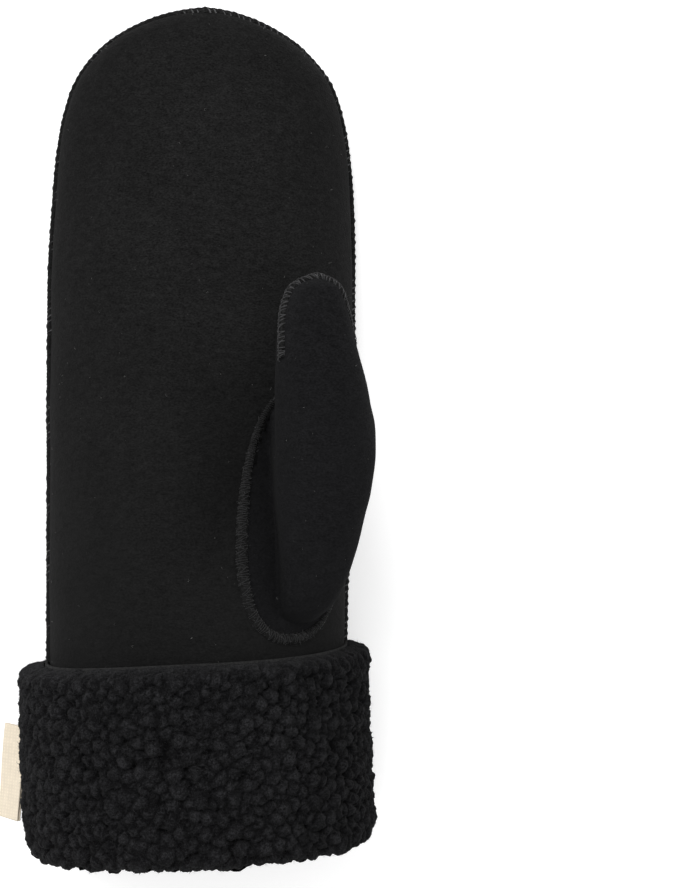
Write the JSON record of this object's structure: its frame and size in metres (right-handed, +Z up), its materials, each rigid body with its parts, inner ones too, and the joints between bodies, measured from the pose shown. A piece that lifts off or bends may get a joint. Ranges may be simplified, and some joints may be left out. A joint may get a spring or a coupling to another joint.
{
  "type": "leather mitten",
  "caption": "Right-hand winter mitten of black shearling leather with a set-in thumb, overcast seams and a turned-up curly fleece cuff.",
  "frame": {"origin": "on the surface that the mitten lies on, under the middle of its length and of the palm's width", "axes": "+X to the thumb side, +Y to the fingertips, +Z up out of the palm; the back of the hand lies on the surface"},
  "size_m": [0.1234, 0.2717, 0.0928],
  "materials": {
    "suede": "napped black suede, matt, with a fine grain",
    "fleece": "black curly wool pile in small knobby locks",
    "label": "cream woven tape, bare"
  },
  "bodies": {
    "root": {"palm_panel": "suede", "back_panel": "suede", "thumb": "suede", "cuff": "fleece", "label": "label"}
  },
  "joints": []
}
